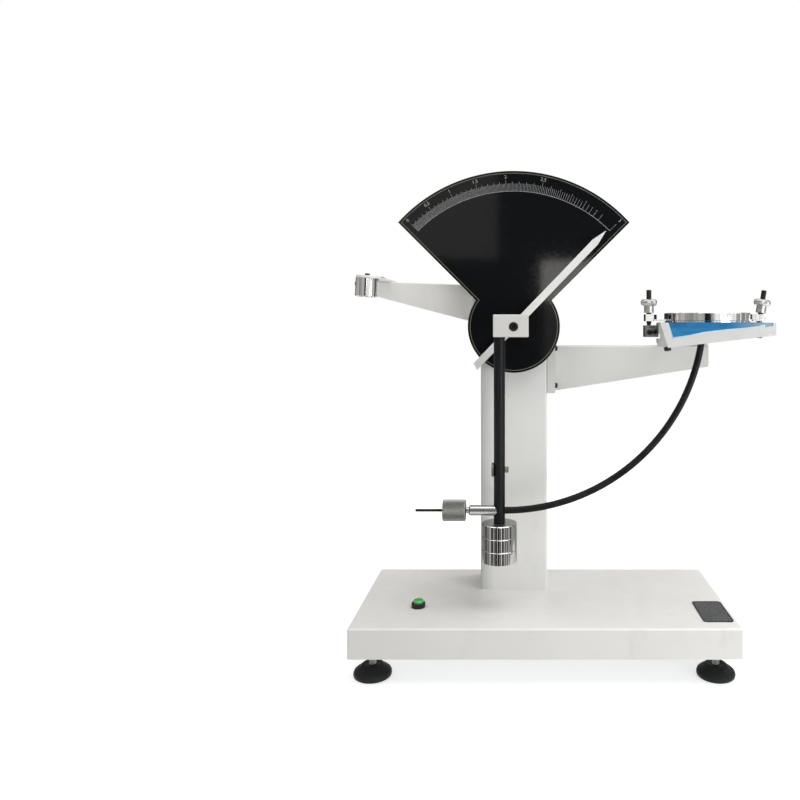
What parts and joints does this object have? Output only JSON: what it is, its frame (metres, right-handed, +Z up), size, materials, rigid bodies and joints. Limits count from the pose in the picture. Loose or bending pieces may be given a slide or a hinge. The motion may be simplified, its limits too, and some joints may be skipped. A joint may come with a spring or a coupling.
{
  "type": "pendulum impact tester",
  "caption": "Bench pendulum impact tester for film: base on levelling feet, column, fan dial with dead pointer, weighted pendulum with striking arc, release magnet and clamp table.",
  "frame": {"origin": "on the surface the feet stand on, under the middle of the base", "axes": "+Z up, front of the dial towards -Y, specimen table on +X"},
  "size_m": [0.5875, 0.2405, 0.704],
  "materials": {
    "white_paint": "satin off-white enamel",
    "white_pointer": "white painted sheet",
    "grey_steel": "plain grey",
    "black_steel": "black oxide, satin",
    "chrome": "polished",
    "brushed_steel": "turned and knurled",
    "zinc_steel": "zinc plated",
    "brass": "turned",
    "dial_black": "gloss black",
    "blue_film": "glossy protective film",
    "green_button": "gloss",
    "black_plastic": "moulded",
    "copper_coil": "wound wire",
    "dark_plate": "dark satin, bare",
    "black_rubber": "moulded"
  },
  "bodies": {
    "stand": {"base_cover": "white_paint", "base_plate": "grey_steel", "plate_screws": "zinc_steel", "column": "white_paint", "column_foot": "grey_steel", "column_bolts": "zinc_steel", "column_cap": "white_paint", "bearing_housing": "grey_steel", "housing_screws": "black_steel", "shaft_bearings": "zinc_steel", "rear_cap": "grey_steel", "dial_plate": "dial_black", "dial_standoffs": "grey_steel", "left_arm": "white_paint", "right_arm": "white_paint", "arm_screws": "black_steel", "magnet_plate": "brushed_steel", "magnet_shell": "chrome", "magnet_coil": "copper_coil", "magnet_core": "zinc_steel", "magnet_screws": "black_steel", "specimen_table": "white_paint", "table_film": "blue_film", "table_screws": "black_steel", "seat_ring": "chrome", "clamp_ring": "chrome", "lug_brackets": "brushed_steel", "hinge_pins": "black_steel", "foot_nuts": "zinc_steel", "button_body": "black_plastic", "blank_plate": "dark_plate", "power_inlet": "black_plastic", "power_supply": "grey_steel"},
    "pendulum": {"pivot_shaft": "zinc_steel", "hub_block": "white_paint", "pivot_screw": "black_steel", "driver_collar": "zinc_steel", "pendulum_rod": "black_steel", "top_weight": "chrome", "middle_weight": "chrome", "bottom_weight": "chrome", "weight_bolt": "zinc_steel", "armature": "zinc_steel", "strike_arc": "black_steel", "impact_head": "chrome", "adjuster_sleeve": "chrome", "adjuster_stud": "zinc_steel", "shaft_clip": "zinc_steel"},
    "balance_drum": {"balance_drum": "brushed_steel"},
    "pointer": {"pointer": "white_pointer", "pointer_bush": "brass"},
    "release_button": {"button_cap": "green_button"},
    "left_bolt": {"left_swing_bolt": "black_steel"},
    "left_nut": {"left_thumb_nut": "brushed_steel"},
    "right_bolt": {"right_swing_bolt": "black_steel"},
    "right_nut": {"right_thumb_nut": "brushed_steel"},
    "foot_front_left": {"foot_front_left": "black_rubber"},
    "foot_back_left": {"foot_back_left": "black_rubber"},
    "foot_front_right": {"foot_front_right": "black_rubber"},
    "foot_back_right": {"foot_back_right": "black_rubber"}
  },
  "joints": [
    {"name": "pendulum_swing", "type": "hinge", "parent": "stand", "child": "pendulum", "pos_m": [-0.042, -0.043, 0.474], "axis": [0, 1, 0], "range_deg": [-80, 93]},
    {"name": "drum_slide", "type": "slide", "parent": "pendulum", "child": "balance_drum", "axis": [1, 0, 0], "range_m": [-0.032, 0]},
    {"name": "pointer_turn", "type": "hinge", "parent": "stand", "child": "pointer", "pos_m": [-0.042, -0.01, 0.474], "axis": [0, -1, 0], "range_deg": [0, 90]},
    {"name": "button_press", "type": "slide", "parent": "stand", "child": "release_button", "axis": [0, 0, -1], "range_m": [0, 0.0025], "stiffness_N_per_m": 300, "springref_m": -0.001},
    {"name": "left_bolt_swing", "type": "hinge", "parent": "stand", "child": "left_bolt", "pos_m": [0.1493, -0.043, 0.467], "axis": [0, -1, 0], "range_deg": [0, 85]},
    {"name": "left_nut_travel", "type": "slide", "parent": "left_bolt", "child": "left_nut", "axis": [0, 0, 1], "range_m": [0, 0.008]},
    {"name": "right_bolt_swing", "type": "hinge", "parent": "stand", "child": "right_bolt", "pos_m": [0.303, -0.043, 0.467], "axis": [0, 1, 0], "range_deg": [-9, 76]},
    {"name": "right_nut_travel", "type": "slide", "parent": "right_bolt", "child": "right_nut", "axis": [0.1564, 0, 0.9877], "range_m": [0, 0.008]},
    {"name": "foot_front_left_turn", "type": "hinge", "parent": "stand", "child": "foot_front_left", "pos_m": [-0.233, -0.083, 0.03], "axis": [0, 0, 1], "continuous": true},
    {"name": "foot_back_left_turn", "type": "hinge", "parent": "stand", "child": "foot_back_left", "pos_m": [-0.233, 0.083, 0.03], "axis": [0, 0, 1], "continuous": true},
    {"name": "foot_front_right_turn", "type": "hinge", "parent": "stand", "child": "foot_front_right", "pos_m": [0.233, -0.083, 0.03], "axis": [0, 0, 1], "continuous": true},
    {"name": "foot_back_right_turn", "type": "hinge", "parent": "stand", "child": "foot_back_right", "pos_m": [0.233, 0.083, 0.03], "axis": [0, 0, 1], "continuous": true}
  ]
}
